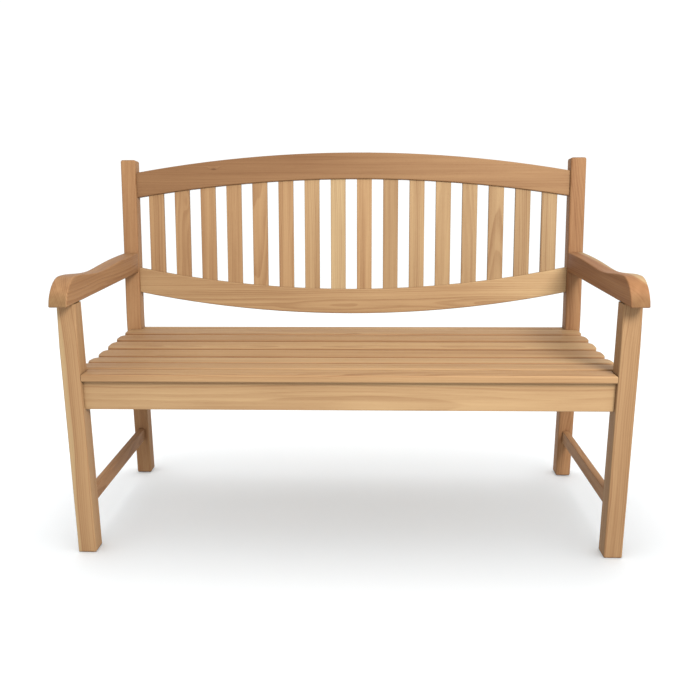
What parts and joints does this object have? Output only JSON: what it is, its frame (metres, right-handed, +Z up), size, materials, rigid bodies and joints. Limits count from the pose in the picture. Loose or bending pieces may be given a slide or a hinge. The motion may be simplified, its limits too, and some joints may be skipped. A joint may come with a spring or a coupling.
{
  "type": "garden bench",
  "caption": "Slatted teak garden bench with an arched crest, a bowed lower back rail, curved arms and a dished slatted seat.",
  "frame": {"origin": "on the floor, below the middle of the bench's length and depth", "axes": "+X along the bench towards the right-hand end as seen from the front, -Y towards the front where the sitter's knees are, +Z up"},
  "size_m": [1.292, 0.621, 0.9311],
  "materials": {
    "teak_golden": "planed and sanded teak, unvarnished, matt to satin",
    "teak_honey": "planed and sanded teak, unvarnished, matt to satin",
    "teak_pinkish": "planed and sanded teak, unvarnished, matt to satin",
    "teak_brown": "planed and sanded teak, unvarnished, matt to satin",
    "teak_pale": "planed and sanded teak, unvarnished, matt to satin",
    "teak_dowel": "planed and sanded teak, unvarnished, matt to satin"
  },
  "bodies": {
    "root": {"arm_left": "teak_honey", "arm_right": "teak_brown", "back_post_left": "teak_golden", "back_post_right": "teak_honey", "back_rail": "teak_golden", "back_slat_01": "teak_pinkish", "back_slat_02": "teak_golden", "back_slat_03": "teak_honey", "back_slat_04": "teak_pale", "back_slat_05": "teak_golden", "back_slat_06": "teak_pinkish", "back_slat_07": "teak_honey", "back_slat_08": "teak_pale", "back_slat_09": "teak_pinkish", "back_slat_10": "teak_golden", "back_slat_11": "teak_honey", "back_slat_12": "teak_pale", "back_slat_13": "teak_golden", "back_slat_14": "teak_pinkish", "back_slat_15": "teak_honey", "back_slat_16": "teak_pale", "crest_rail": "teak_pinkish", "dowel_arm_leg_left": "teak_dowel", "dowel_arm_leg_right": "teak_dowel", "dowel_arm_post_left": "teak_dowel", "dowel_arm_post_right": "teak_dowel", "dowel_back_rail_left": "teak_dowel", "dowel_back_rail_right": "teak_dowel", "dowel_crest_left": "teak_dowel", "dowel_crest_right": "teak_dowel", "dowel_front_rail_left": "teak_dowel", "dowel_front_rail_right": "teak_dowel", "dowel_lower_back_left": "teak_dowel", "dowel_lower_back_right": "teak_dowel", "dowel_side_rail_back_left": "teak_dowel", "dowel_side_rail_back_right": "teak_dowel", "dowel_side_rail_front_left": "teak_dowel", "dowel_side_rail_front_right": "teak_dowel", "dowel_stretcher_back_left": "teak_dowel", "dowel_stretcher_back_right": "teak_dowel", "dowel_stretcher_front_left": "teak_dowel", "dowel_stretcher_front_right": "teak_dowel", "front_leg_left": "teak_golden", "front_leg_right": "teak_pinkish", "front_rail": "teak_pale", "lower_back_rail": "teak_golden", "seat_bearer_middle": "teak_honey", "seat_slat_2": "teak_pinkish", "seat_slat_3": "teak_golden", "seat_slat_4": "teak_honey", "seat_slat_5": "teak_golden", "seat_slat_6": "teak_pinkish", "seat_slat_front": "teak_honey", "seat_slat_rear": "teak_golden", "side_rail_left": "teak_golden", "side_rail_right": "teak_golden", "side_stretcher_left": "teak_golden", "side_stretcher_right": "teak_pinkish"}
  },
  "joints": []
}
